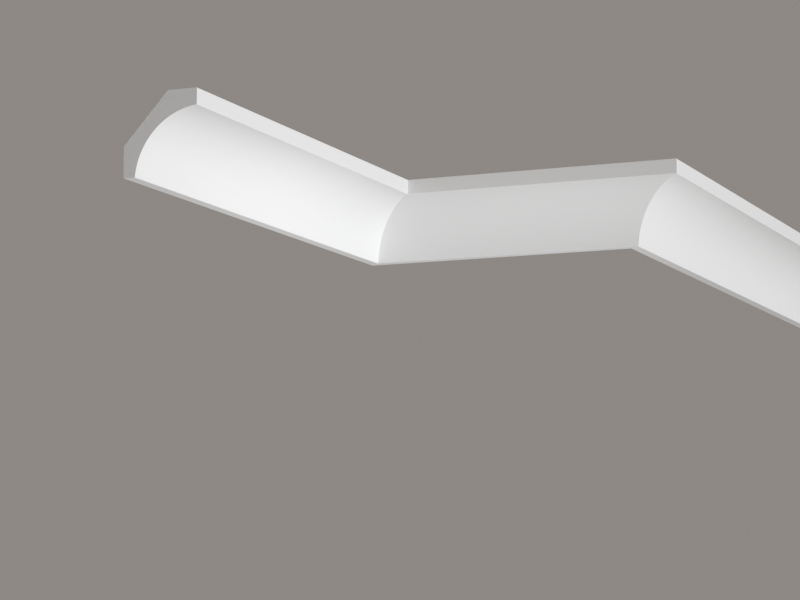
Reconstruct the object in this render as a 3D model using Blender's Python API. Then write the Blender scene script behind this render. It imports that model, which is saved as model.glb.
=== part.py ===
"""Plain cove cornice, carried round an inner and an outer corner of a room in mitred lengths.

Each length is cut from one moulded bar with a hollow front, a lip under it, an upright fascia above it and a
chamfered back. The bar is glued to the wall and to the ceiling, and the lengths meet in mitres.
Metres, +Z up. The origin is the middle of the middle length's wall seat, +Y points into its wall,
and the left and right lengths run along Y.
"""

import math

import bmesh
import bpy
from mathutils import Matrix, Vector

# Section of the bar, square to its length
DROP = 0.100  # down the wall, from the ceiling to the underside
PROJECTION = 0.095  # along the ceiling, from the wall to the fascia
LIP = 0.015  # flat underside, out from the wall
FASCIA = 0.020  # upright front strip, down from the ceiling
COVE_RADIUS = 0.088  # hollow between the lip and the fascia
WALL_SEAT = 0.038  # flat that is glued to the wall, up from the underside
CEILING_SEAT = 0.038  # flat that is glued to the ceiling, back from the fascia
ARRIS = 0.0006  # radius of the long edges that show

# The walls that the cornice follows, from left to right
LEFT_WALL = 0.717  # from the cut end to the inner corner
MIDDLE_WALL = 0.384  # from the inner corner to the outer one
RIGHT_WALL = 0.960  # from the outer corner to the cut end
INNER_CORNER_ANGLE = math.radians(-90)  # turn from one wall to the next, seen from above: - is to the right
OUTER_CORNER_ANGLE = math.radians(90)
SQUARE_END_ANGLE = 0
MITRE_GAP = 0.0003  # between the faces of a mitre
SAW_WASTE = 0.010  # bar that is left beyond each cut, and falls off

# Fineness of the round stretches
COVE_STEPS = 48
ARRIS_STEPS = 3
WELD_DISTANCE = 0.000005  # joins the loose caps of the extruded section to its sides
CREASE_ANGLE = math.radians(35)  # sharper edges stay crisp, gentler ones are shaded smooth


def clear_scene():
    """Removes whatever the file held."""
    for thing in list(bpy.data.objects):
        bpy.data.objects.remove(thing, do_unlink=True)


def primed_white():
    """Smooth factory primer on dense white foam."""
    material = bpy.data.materials.new("primed_white")
    material.use_nodes = True
    shader = material.node_tree.nodes["Principled BSDF"]
    shader.inputs["Base Color"].default_value = (0.84, 0.84, 0.83, 1)
    shader.inputs["Roughness"].default_value = 0.55
    shader.inputs["Metallic"].default_value = 0
    return material


def arc(start, centre, sweep, steps):
    """Points on a circle about the centre, from the start through the sweep, counter-clockwise if it is +."""
    turns = [Matrix.Rotation(sweep * step / steps, 2) for step in range(steps + 1)]
    return [centre + turn @ (start - centre) for turn in turns]


def cove():
    """Points up the hollow, from the lip's front corner to the fascia's lower corner, as (out, up).

    They lie on the circle of COVE_RADIUS through both corners whose centre is on the room's side.
    """
    foot = Vector((LIP, 0))
    head = Vector((PROJECTION, DROP - FASCIA))
    chord = head - foot
    to_room = Vector((chord.y, -chord.x)).normalized()
    centre = (foot + head) / 2 + to_room * math.sqrt(COVE_RADIUS**2 - (chord.length / 2) ** 2)
    sweep = 2 * math.asin(chord.length / 2 / COVE_RADIUS)
    return arc(foot, centre, -sweep, COVE_STEPS)


def eased(before, corner, after):
    """The corner between its two neighbours as a short arc of the arris radius that touches both sides."""
    back = (before - corner).normalized()
    on = (after - corner).normalized()
    half_angle = back.angle(on) / 2
    centre = corner + (back + on).normalized() * ARRIS / math.sin(half_angle)
    start = corner + back * ARRIS / math.tan(half_angle)
    sweep = math.copysign(math.pi - 2 * half_angle, on.cross(back))
    return arc(start, centre, sweep, ARRIS_STEPS)


def section():
    """The bar's outline as (out, up), from the underside at the wall round by the front and back again."""
    wall_foot = Vector((0, 0))
    hollow = cove()
    lip_front, fascia_foot = hollow[0], hollow[-1]
    fascia_top = Vector((PROJECTION, DROP))
    ceiling_back = Vector((PROJECTION - CEILING_SEAT, DROP))
    wall_top = Vector((0, WALL_SEAT))
    return [
        *eased(wall_top, wall_foot, lip_front),
        *eased(wall_foot, lip_front, hollow[1]),
        *hollow[1:-1],
        *eased(hollow[-2], fascia_foot, fascia_top),
        *eased(fascia_foot, fascia_top, ceiling_back),
        ceiling_back,
        wall_top,
    ]


def bar(near, far):
    """The uncut bar along X from near to far, the room on its -Y side, Z 0 half-way up the wall seat."""
    outline = bpy.data.curves.new("section", "CURVE")
    outline.dimensions = "2D"
    outline.fill_mode = "BOTH"
    outline.extrude = (far - near) / 2
    points = section()
    spline = outline.splines.new("POLY")
    spline.points.add(len(points) - 1)
    for place, point in zip(spline.points, points):
        place.co = (point.x, point.y, 0, 1)
    spline.use_cyclic_u = True
    guide = bpy.data.objects.new("section", outline)
    bpy.context.scene.collection.objects.link(guide)
    solid = bpy.data.meshes.new_from_object(guide.evaluated_get(bpy.context.evaluated_depsgraph_get()))
    bpy.data.objects.remove(guide)
    # the outline's x, y and depth become the bar's out, up and length
    stand_up = Matrix(((0, 0, -1, 0), (-1, 0, 0, 0), (0, 1, 0, 0), (0, 0, 0, 1)))
    solid.transform(Matrix.Translation(((near + far) / 2, 0, -WALL_SEAT / 2)) @ stand_up)
    return solid


def saw(solid, station, away):
    """Cuts the bar square to away, through the station on the wall line, and closes the cut."""
    cut = bmesh.ops.bisect_plane(
        solid,
        geom=[*solid.verts, *solid.edges, *solid.faces],
        plane_co=Vector((station, 0, 0)),
        plane_no=away,
        clear_outer=True,
    )
    rim = [part for part in cut["geom_cut"] if isinstance(part, bmesh.types.BMEdge)]
    bmesh.ops.contextual_create(solid, geom=rim)


def cornice_length(name, wall, near_angle, far_angle, material):
    """One length for a wall of that width, its wall line along X from 0.

    Each end is cut half-way through the turn to the neighbouring wall, and half of MITRE_GAP short of it.
    At an outer corner the front reaches further than the wall line, and the bar starts that much longer.
    """
    reaches = [max(PROJECTION * math.tan(angle / 2), 0) + SAW_WASTE for angle in (near_angle, far_angle)]
    mesh = bar(-reaches[0], wall + reaches[1])
    mesh.name = name
    solid = bmesh.new()
    solid.from_mesh(mesh)
    bmesh.ops.remove_doubles(solid, verts=solid.verts, dist=WELD_DISTANCE)
    for station, along, angle in ((0, -1, near_angle), (wall, 1, far_angle)):
        shortening = MITRE_GAP / 2 / math.cos(angle / 2) if angle else 0
        away = Vector((along * math.cos(angle / 2), math.sin(angle / 2), 0))
        saw(solid, station - along * shortening, away)
    bmesh.ops.recalc_face_normals(solid, faces=solid.faces)
    solid.to_mesh(mesh)
    solid.free()
    mesh.shade_smooth()
    mesh.set_sharp_from_angle(angle=CREASE_ANGLE)
    mesh.materials.clear()
    mesh.materials.append(material)
    return bpy.data.objects.new(name, mesh)


def build():
    """The three lengths, each set against its wall and parented to the cornice's origin."""
    clear_scene()
    material = primed_white()
    collection = bpy.data.collections.new("cove_cornice")
    bpy.context.scene.collection.children.link(collection)
    origin = bpy.data.objects.new("cornice_origin", None)
    collection.objects.link(origin)
    inner_corner = Vector((-MIDDLE_WALL / 2, 0, 0))
    outer_corner = Vector((MIDDLE_WALL / 2, 0, 0))

    left = cornice_length("left_length", LEFT_WALL, SQUARE_END_ANGLE, INNER_CORNER_ANGLE, material)
    left.rotation_euler.z = -INNER_CORNER_ANGLE
    left.location = inner_corner - Matrix.Rotation(-INNER_CORNER_ANGLE, 3, "Z") @ Vector((LEFT_WALL, 0, 0))

    middle = cornice_length("middle_length", MIDDLE_WALL, INNER_CORNER_ANGLE, OUTER_CORNER_ANGLE, material)
    middle.location = inner_corner

    right = cornice_length("right_length", RIGHT_WALL, OUTER_CORNER_ANGLE, SQUARE_END_ANGLE, material)
    right.rotation_euler.z = OUTER_CORNER_ANGLE
    right.location = outer_corner

    for length in (left, middle, right):
        collection.objects.link(length)
        length.parent = origin


build()
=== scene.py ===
"""Plain cove cornice carried round an inner and an outer corner, in three mitred lengths.

The loaded frame gives each length its place: metres, +Z up, the middle length's upright seat at Y = 0, and
the left and right lengths along Y. Here every length is cut again from one bar of a finer section and gets
its real surfaces: primer on the front, bare foam on the back, and sawn foam on the ends.
"""

import math

import bpy
import numpy as np
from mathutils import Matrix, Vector


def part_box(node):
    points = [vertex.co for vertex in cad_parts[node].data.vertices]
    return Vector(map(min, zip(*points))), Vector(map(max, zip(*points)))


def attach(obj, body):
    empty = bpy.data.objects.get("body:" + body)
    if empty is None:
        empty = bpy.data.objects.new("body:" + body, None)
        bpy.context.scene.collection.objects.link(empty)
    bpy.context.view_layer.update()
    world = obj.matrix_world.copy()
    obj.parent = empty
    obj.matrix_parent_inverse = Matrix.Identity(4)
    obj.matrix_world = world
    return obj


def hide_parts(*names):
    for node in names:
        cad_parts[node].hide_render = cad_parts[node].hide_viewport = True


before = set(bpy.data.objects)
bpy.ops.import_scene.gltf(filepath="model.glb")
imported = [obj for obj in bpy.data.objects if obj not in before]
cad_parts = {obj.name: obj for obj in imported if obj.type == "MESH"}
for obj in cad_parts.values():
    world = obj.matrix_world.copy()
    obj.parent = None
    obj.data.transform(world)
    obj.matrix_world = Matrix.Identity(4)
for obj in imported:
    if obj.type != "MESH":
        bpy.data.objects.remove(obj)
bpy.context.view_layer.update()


# The bar that all three lengths are cut from. It is dense white foam, moulded with a flat lip below, a long
# hollow and an upright fascia in front, and a chamfered back, so that only two narrow flats are glued: its
# upright seat behind and its level seat on top.

LIP = 0.015
FASCIA = 0.020
COVE_RADIUS = 0.088
SEAT = 0.038  # width of each seat
FRONT_ARRIS = 0.0006  # edges that show, softened by the primer
BACK_ARRIS = 0.0003
COVE_STEPS = 64
ARRIS_STEPS = 6
FORWARD, UPWARD, BACKWARD, DOWNWARD = 0, 90, 180, -90  # ways to face, in degrees; -180 is BACKWARD too

left_low, left_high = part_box("left_length")
PROJECTION = left_high.x - left_low.x
DROP = left_high.z - left_low.z


def facing(degrees):
    """Unit vectors (cos a, sin a): as (forward, up) in the section, or as (x, y) seen from above."""
    turn = np.radians(degrees)
    return np.stack([np.cos(turn), np.sin(turn)], axis=-1)


def round_stretch(centre, radius, first, last, steps):
    """(points, normals): centre + radius * n, for unit normals n that turn evenly from first to last degrees.

    A radius below 0 gives a hollow, whose normals point at the centre.
    """
    normals = facing(np.linspace(first, last, steps + 1))
    return centre + radius * normals, normals


def arris(corner, first, last, radius):
    """A corner between sides that face first and last degrees, eased to a round that touches both.

    The centre is corner - radius * (n1 + n2) / (1 + n1 . n2), for the sides' unit normals n1 and n2.
    """
    n1, n2 = facing(first), facing(last)
    centre = corner - radius * (n1 + n2) / (1 + n1 @ n2)
    return round_stretch(centre, radius, first, last, ARRIS_STEPS)


def bar_section():
    """(points, normals, number of points in front): up the front from the lip's back edge, and down the back.

    The hollow lies on the circle of COVE_RADIUS through the lip's front corner and the fascia's lower
    corner, with its centre in front of the line between them.
    """
    lip_back = np.array([0, 0])
    lip_front = np.array([LIP, 0])
    fascia_foot = np.array([PROJECTION, DROP - FASCIA])
    fascia_top = np.array([PROJECTION, DROP])
    level_seat_back = np.array([PROJECTION - SEAT, DROP])
    upright_seat_top = np.array([0, SEAT])

    half_chord = (fascia_foot - lip_front) / 2
    forward = np.array([half_chord[1], -half_chord[0]]) / np.linalg.norm(half_chord)
    centre = lip_front + half_chord + forward * math.sqrt(COVE_RADIUS**2 - half_chord @ half_chord)
    foot, head = (math.degrees(math.atan2(*(centre - end)[::-1])) for end in (lip_front, fascia_foot))
    eased = math.degrees(FRONT_ARRIS / COVE_RADIUS)
    down_back = upright_seat_top - level_seat_back
    chamfer = math.degrees(math.atan2(-down_back[0], down_back[1]))

    front = [
        arris(lip_back, -BACKWARD, DOWNWARD, FRONT_ARRIS),
        arris(lip_front, DOWNWARD, foot, FRONT_ARRIS),
        round_stretch(centre, -COVE_RADIUS, foot - eased, head + eased, COVE_STEPS),
        arris(fascia_foot, head, FORWARD, FRONT_ARRIS),
        arris(fascia_top, FORWARD, UPWARD, FRONT_ARRIS),
    ]
    back = [
        arris(level_seat_back, UPWARD, chamfer, BACK_ARRIS),
        arris(upright_seat_top, chamfer, BACKWARD, BACK_ARRIS),
    ]
    points, normals = (np.concatenate(part) for part in zip(*front, *back))
    return points, normals, sum(len(stretch[0]) for stretch in front)


section, section_normals, front_points = bar_section()


# Factory primer, sprayed over the whole front. It is a thick matt white with a little drag along the bar and
# the fine texture of spray, and it has flaked off in specks where the saw came out at an open end.

PRIMER_FULL = (0.844, 0.844, 0.843, 1)
PRIMER_THIN = (0.836, 0.837, 0.838, 1)
FULL_ROUGHNESS = 0.68
THIN_ROUGHNESS = 0.78
PRIMER_SHEEN = 0.35
COAT_BLOTCHES = (9, 60)  # a metre, along and round the bar
COAT_COLOUR_RANGE = (0.35, 0.65)  # of the blotches' noise, from thin to full
COAT_GLOSS_RANGE = (0.3, 0.7)
DRAG_LINES = (3, 900)
DRAG_DETAIL = 1.0
SPRAY_GRAIN = (600, 600)
PRIMER_RELIEF = 0.000003
CHIPS = (900, 900)
CHIP_RANGE = (0.45, 0.75)
CHIP_REACH = 0.0012  # from an open end
CHIPPED_FOAM = (0.70, 0.70, 0.69, 1)
COLOUR_A, COLOUR_B, COLOUR_RESULT = 6, 7, 2  # the Mix node's sockets for colours


def on_bar(tree, along, across):
    """The map "bar", in metres along and round the length, as a vector with that many units a metre."""
    place = tree.nodes.new("ShaderNodeUVMap")
    place.uv_map = "bar"
    scale = tree.nodes.new("ShaderNodeMapping")
    scale.inputs["Scale"].default_value = (along, across, 1)
    tree.links.new(place.outputs["UV"], scale.inputs["Vector"])
    return scale.outputs["Vector"]


def mottle(tree, along, across, detail=2.0):
    """Soft noise with that many blotches a metre along and round the length, from 0 to 1."""
    noise = tree.nodes.new("ShaderNodeTexNoise")
    noise.inputs["Scale"].default_value = 1
    noise.inputs["Detail"].default_value = detail
    tree.links.new(on_bar(tree, along, across), noise.inputs["Vector"])
    return noise.outputs["Fac"]


def ranged(tree, value, low, high, to_low=0, to_high=1):
    """Runs from to_low to to_high as the value runs from low to high, and stays there beyond."""
    change = tree.nodes.new("ShaderNodeMapRange")
    for name, number in zip(("From Min", "From Max", "To Min", "To Max"), (low, high, to_low, to_high)):
        change.inputs[name].default_value = number
    tree.links.new(value, change.inputs["Value"])
    return change.outputs["Result"]


def blended(tree, share, first, second):
    """The colour between two, by the share of the second. Each is a plain colour or a node's output."""
    mix = tree.nodes.new("ShaderNodeMix")
    mix.data_type = "RGBA"
    tree.links.new(share, mix.inputs["Factor"])
    for socket, colour in zip((mix.inputs[COLOUR_A], mix.inputs[COLOUR_B]), (first, second)):
        if isinstance(colour, tuple):
            socket.default_value = colour
        else:
            tree.links.new(colour, socket)
    return mix.outputs[COLOUR_RESULT]


def raised(tree, height, depth, over=None):
    """A bump whose height from 0 to 1 stands for that depth in metres, over another bump if one is given."""
    bump = tree.nodes.new("ShaderNodeBump")
    bump.inputs["Distance"].default_value = depth
    tree.links.new(height, bump.inputs["Height"])
    if over:
        tree.links.new(over, bump.inputs["Normal"])
    return bump.outputs["Normal"]


def primer():
    """Colour and gloss follow how thick the primer lies; spray texture and drag lines are its relief.

    A spot is chipped where from_saw is less than CHIP_REACH times the chips' noise.
    """
    material = bpy.data.materials.new("primed_white")
    material.use_nodes = True
    tree = material.node_tree
    shader = tree.nodes["Principled BSDF"]
    shader.inputs["Specular IOR Level"].default_value = PRIMER_SHEEN

    thickness = mottle(tree, *COAT_BLOTCHES)
    coat = blended(tree, ranged(tree, thickness, *COAT_COLOUR_RANGE), PRIMER_THIN, PRIMER_FULL)
    from_saw = tree.nodes.new("ShaderNodeAttribute")
    from_saw.attribute_name = "from_saw"
    ragged = tree.nodes.new("ShaderNodeMath")
    ragged.operation = "MULTIPLY"
    tree.links.new(ranged(tree, mottle(tree, *CHIPS), *CHIP_RANGE), ragged.inputs[0])
    ragged.inputs[1].default_value = CHIP_REACH
    chipped = tree.nodes.new("ShaderNodeMath")
    chipped.operation = "LESS_THAN"
    tree.links.new(from_saw.outputs["Fac"], chipped.inputs[0])
    tree.links.new(ragged.outputs[0], chipped.inputs[1])
    colour = blended(tree, chipped.outputs[0], coat, CHIPPED_FOAM)
    tree.links.new(colour, shader.inputs["Base Color"])

    roughness = ranged(tree, thickness, *COAT_GLOSS_RANGE, THIN_ROUGHNESS, FULL_ROUGHNESS)
    tree.links.new(roughness, shader.inputs["Roughness"])
    drag = raised(tree, mottle(tree, *DRAG_LINES, DRAG_DETAIL), PRIMER_RELIEF)
    spray = raised(tree, mottle(tree, *SPRAY_GRAIN), PRIMER_RELIEF, drag)
    tree.links.new(spray, shader.inputs["Normal"])
    return material


primed_white = primer()


# The back of the bar, out of sight once it is glued up. It is the foam's own moulded skin, never primed, a
# little yellower than the front, with the mould's long scrapes and the fine grain of closed cells.

SKIN = (0.76, 0.76, 0.745, 1)
SKIN_SCRAPED = (0.69, 0.69, 0.67, 1)
SKIN_ROUGHNESS = 0.75
SCRAPES = (4, 380)  # a metre, along and round the bar
SCRAPE_DETAIL = 3.0
SCRAPE_RANGE = (0.4, 0.7)
SCRAPE_DEPTH = 0.00006
SKIN_GRAIN = (1400, 1400)
SKIN_GRAIN_DEPTH = 0.00004


def bare_skin():
    """Long scrapes along the bar, over the grain of the cells."""
    material = bpy.data.materials.new("bare_foam_skin")
    material.use_nodes = True
    tree = material.node_tree
    shader = tree.nodes["Principled BSDF"]
    shader.inputs["Roughness"].default_value = SKIN_ROUGHNESS

    scrapes = mottle(tree, *SCRAPES, SCRAPE_DETAIL)
    colour = blended(tree, ranged(tree, scrapes, *SCRAPE_RANGE), SKIN, SKIN_SCRAPED)
    tree.links.new(colour, shader.inputs["Base Color"])
    grooves = raised(tree, scrapes, SCRAPE_DEPTH)
    grain = raised(tree, mottle(tree, *SKIN_GRAIN), SKIN_GRAIN_DEPTH, grooves)
    tree.links.new(grain, shader.inputs["Normal"])
    return material


bare_foam_skin = bare_skin()


# Sawn foam, on every cut end. The saw opens the fine cells, which leaves the face as white as the primer
# beside it but rougher, and draws faint slanting lines across it. The shade inside each open cell is painted
# into the colour, darker towards the cell's middle.

SAWN = (0.88, 0.89, 0.90, 1)
# The second colour is painted shade: the sawn face darkened for the shade inside an open cell's pit.
SAWN_PIT_SHADE = (0.80, 0.81, 0.82, 1)
SAWN_ROUGHNESS = 0.85
CELLS_PER_METRE = 1800
PIT_REACH = 0.55  # from the middle of a cell, in cells
PIT_DEPTH = 0.00012
SAW_LINES_PER_METRE = 314.1
SAW_LINE_DEPTH = 0.00003
SAW_WAVER = 1.5
SAW_SLANT = math.radians(24)
ONE_LINE_A_UNIT = 2 * math.pi / 20  # the Wave node's scale for one line a unit


def sawn_face():
    """Open cells as small pits with painted shade, darker at their middles, across slanting saw lines."""
    material = bpy.data.materials.new("sawn_foam")
    material.use_nodes = True
    tree = material.node_tree
    shader = tree.nodes["Principled BSDF"]
    shader.inputs["Roughness"].default_value = SAWN_ROUGHNESS

    cells = tree.nodes.new("ShaderNodeTexVoronoi")
    cells.inputs["Scale"].default_value = 1
    tree.links.new(on_bar(tree, CELLS_PER_METRE, CELLS_PER_METRE), cells.inputs["Vector"])
    # Painted shade: the colour darkens towards the middle of each cell, as shade in its open pit.
    pit_shade = ranged(tree, cells.outputs["Distance"], 0, PIT_REACH, 1, 0)
    tree.links.new(blended(tree, pit_shade, SAWN, SAWN_PIT_SHADE), shader.inputs["Base Color"])

    marks = tree.nodes.new("ShaderNodeTexWave")
    marks.inputs["Scale"].default_value = ONE_LINE_A_UNIT
    marks.inputs["Distortion"].default_value = SAW_WAVER
    slanted = tree.nodes.new("ShaderNodeMapping")
    slanted.inputs["Rotation"].default_value = (0, 0, SAW_SLANT)
    tree.links.new(on_bar(tree, SAW_LINES_PER_METRE, SAW_LINES_PER_METRE), slanted.inputs["Vector"])
    tree.links.new(slanted.outputs["Vector"], marks.inputs["Vector"])
    lines = raised(tree, marks.outputs["Fac"], SAW_LINE_DEPTH)
    pits = raised(tree, cells.outputs["Distance"], PIT_DEPTH, lines)
    tree.links.new(pits, shader.inputs["Normal"])
    return material


sawn_foam = sawn_face()


# The left length, from the square end that shows the whole section to the inner corner. As each of the
# three, it is sawn off the bar half-way through the corner's turn, and glued in the mitre to the next one.

STATION_EVERY = 0.02
MITRE_SEAM = 0.00004  # glue between the two faces of a mitre
SQUARE = 0  # turns at the ends, in degrees, counter-clockwise from above
INNER_CORNER = -90
OUTER_CORNER = 90
TO_THE_RIGHT, TO_THE_BACK = 0, 90  # headings, in degrees from +X


def cell_corners(grid):
    """The values at the four corners of every cell of a grid of (station, way round), in outward order."""
    corners = [grid[:-1, :-1], grid[1:, :-1], grid[1:, 1:], grid[:-1, 1:]]
    return np.stack(corners, axis=2).reshape(-1, *grid.shape[2:])


def mitre_cut(turn):
    """(lean, loss) of the cut half-way through a turn, which is square where there is no turn.

    It leans by tan(turn / 2) along the bar for each metre forward. A mitre takes its half of the seam off
    the bar, which is MITRE_SEAM / 2 / cos(turn / 2) along it, and a square cut takes nothing.
    """
    half_turn = math.radians(turn) / 2
    return math.tan(half_turn), MITRE_SEAM / 2 / math.cos(half_turn) if turn else 0


def cut_length(name, start, heading, near_turn, far_turn, run):
    """The section carried along the straight run that leaves start at a heading, with both ends cut.

    A point that stands forward of the upright seat by o runs from s = loss - o * lean at the near end to
    s = run - loss + o * lean at the far end, each end with its own mitre_cut, and lies at
    start + s * along + o * forward + its height.
    The map "bar" holds s and the way round the section, in metres, or o and the height on the ends, and
    "from_saw" is the distance to the nearest open end.
    """
    along = np.array([*facing(heading), 0])
    forward = np.array([along[1], -along[0], 0])
    up = np.array([0, 0, 1])
    (near_lean, near_loss), (far_lean, far_loss) = mitre_cut(near_turn), mitre_cut(far_turn)
    near = near_loss - section[:, 0] * near_lean
    far = run - far_loss + section[:, 0] * far_lean

    stations = round(run / STATION_EVERY)
    s = near + np.linspace(0, 1, stations + 1)[:, None] * (far - near)
    places = s[..., None] * along + section @ np.array([forward, up]) + np.array(start)

    ring = len(section)
    closed = np.append(np.arange(ring), 0)
    index = np.arange(s.size).reshape(s.shape)
    sides = cell_corners(index[:, closed]).reshape(-1, 4)
    ends = [index[0].tolist(), index[-1, ::-1].tolist()]
    mesh = bpy.data.meshes.new(name)
    mesh.from_pydata(places.reshape(-1, 3), [], [*sides.tolist(), *ends])

    steps = np.linalg.norm(np.diff(section[closed], axis=0), axis=1)
    way_round = np.broadcast_to(np.append(0, np.cumsum(steps)), (stations + 1, ring + 1))
    side_map = cell_corners(np.stack([s[:, closed], way_round], axis=-1))
    whole_map = np.concatenate([side_map, section, section[::-1]])
    bar_map = mesh.uv_layers.new(name="bar")
    bar_map.uv.foreach_set("vector", whole_map.astype(np.float32).ravel())

    outward = (section_normals @ np.array([forward, up]))[closed]
    side_normals = cell_corners(np.broadcast_to(outward, (stations + 1, ring + 1, 3)))
    end_normals = np.array([-along - near_lean * forward, along - far_lean * forward])
    end_normals /= np.linalg.norm(end_normals, axis=1, keepdims=True)
    mesh.shade_smooth()
    mesh.normals_split_custom_set(np.concatenate([side_normals, np.repeat(end_normals, ring, axis=0)]))

    for material in (primed_white, bare_foam_skin, sawn_foam):
        mesh.materials.append(material)
    front_slot, back_slot, end_slot = range(3)
    side_slots = np.where(np.arange(ring) < front_points - 1, front_slot, back_slot)
    mesh.polygons.foreach_set("material_index", [*np.tile(side_slots, stations), end_slot, end_slot])

    never = np.full_like(s, run)
    from_saw = np.minimum(never if near_turn else s - near, never if far_turn else far - s)
    attribute = mesh.attributes.new("from_saw", "FLOAT", "POINT")
    attribute.data.foreach_set("value", from_saw.astype(np.float32).ravel())

    piece = bpy.data.objects.new(name, mesh)
    bpy.context.scene.collection.objects.link(piece)
    return piece


left_cornice = cut_length(
    "left_cornice", left_low, TO_THE_BACK, SQUARE, INNER_CORNER, -left_low.y
)
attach(left_cornice, "root")
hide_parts("left_length")


# The middle length, between the two corners. Its left mitre is hollow in plan and its right one stands out,
# so in front it stops short of its seat at one end and reaches past it at the other.

right_low, right_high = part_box("right_length")
middle_start = (left_low.x, 0, left_low.z)
middle_cornice = cut_length(
    "middle_cornice", middle_start, TO_THE_RIGHT, INNER_CORNER, OUTER_CORNER, right_low.x - left_low.x
)
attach(middle_cornice, "root")
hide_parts("middle_length")


# The right length, from the outer corner to the back. It ends square, where the next bar would go on.

right_start = (right_low.x, 0, right_low.z)
right_cornice = cut_length(
    "right_cornice", right_start, TO_THE_BACK, OUTER_CORNER, SQUARE, right_high.y
)
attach(right_cornice, "root")
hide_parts("right_length")


# The studio: a pale floor far below, a warm grey backdrop all round, and soft lights. The strong one is to
# the right, so that the left and right lengths shine and the middle one stays in soft shade, and two small
# ones brighten the inner corner. An even light from behind and above brightens the floor and the tops.

FLOOR_DEPTH = -8.5
FLOOR_RADIUS = 600.0
FLOOR_EDGES = 96
FLOOR_COLOUR = (0.46, 0.452, 0.44, 1)
FLOOR_ROUGHNESS = 0.9
BACKDROP = (0.269, 0.248, 0.232, 1)
COOL = (0.98, 1.0, 1.024)  # makes up for the backdrop's warmth, so that white stays white
ALL_LENGTHS = (0, -0.1, 0.03)  # where the strong light is aimed
INNER_HOLLOW = (-0.12, -0.1, 0.03)  # where the small ones are aimed


def pale_floor():
    """A level disc of matt pale plaster: its rim is at radius * (cos a, sin a) for angles a all round."""
    rim = facing(np.arange(FLOOR_EDGES) * 360 / FLOOR_EDGES) * FLOOR_RADIUS
    corners = np.column_stack([rim, np.full(FLOOR_EDGES, FLOOR_DEPTH)])
    mesh = bpy.data.meshes.new("pale_floor")
    mesh.from_pydata(corners, [], [range(FLOOR_EDGES)])
    material = bpy.data.materials.new("pale_floor")
    material.use_nodes = True
    shader = material.node_tree.nodes["Principled BSDF"]
    shader.inputs["Base Color"].default_value = FLOOR_COLOUR
    shader.inputs["Roughness"].default_value = FLOOR_ROUGHNESS
    mesh.materials.append(material)
    floor = bpy.data.objects.new("pale_floor", mesh)
    bpy.context.scene.collection.objects.link(floor)
    return floor


def hung(name, light, place, target):
    """The light as an object at its place, aimed at the target, and unseen itself."""
    light.color = COOL
    lamp = bpy.data.objects.new(name, light)
    lamp.location = place
    lamp.rotation_euler = (Vector(target) - Vector(place)).to_track_quat("-Z", "Y").to_euler()
    lamp.visible_camera = False
    bpy.context.scene.collection.objects.link(lamp)
    return lamp


def soft_light(name, place, target, size, power):
    """A square softbox of that size in metres and power in watts, aimed from its place at a target."""
    light = bpy.data.lights.new(name, "AREA")
    light.size = size
    light.energy = power
    return hung(name, light, place, target)


def even_light(name, place, strength, width):
    """The same light everywhere, from that place towards the origin, as from a panel width degrees across."""
    light = bpy.data.lights.new(name, "SUN")
    light.energy = strength
    light.angle = math.radians(width)
    return hung(name, light, place, (0, 0, 0))


pale_floor()
world = bpy.data.worlds.new("backdrop")
world.use_nodes = True
world.node_tree.nodes["Background"].inputs["Color"].default_value = BACKDROP
bpy.context.scene.world = world
bpy.context.scene.view_settings.view_transform = "Standard"

even_light("behind_above", place=(-5, 5, 7), strength=2.55, width=30)
soft_light("far_right", place=(6.864, -0.965, -0.974), target=ALL_LENGTHS, size=2.5, power=262)
soft_light("front_glow", place=(0.585, -1.321, -0.483), target=INNER_HOLLOW, size=0.4, power=1.57)
soft_light("corner_glow", place=(0.107, -0.327, -0.353), target=INNER_HOLLOW, size=0.4, power=0.504)


# The camera stands in front, a little to the right of the corners and below the lengths, and looks up to the
# left at the middle one. It has no shift, so the lengths stay in view from every other side too.

LENS = 116.3  # mm
SENSOR_WIDTH = 36  # mm
CAMERA_PLACE = (1.2704, -3.3073, -0.5832)
CAMERA_YAW = math.radians(23.237)  # to the left of +Y
CAMERA_PITCH = math.radians(8.109)  # above level

camera_data = bpy.data.cameras.new("camera")
camera_data.lens = LENS
camera_data.sensor_width = SENSOR_WIDTH
camera = bpy.data.objects.new("camera", camera_data)
camera.location = CAMERA_PLACE
camera.rotation_euler = (math.pi / 2 + CAMERA_PITCH, 0, CAMERA_YAW)
bpy.context.scene.collection.objects.link(camera)
bpy.context.scene.camera = camera
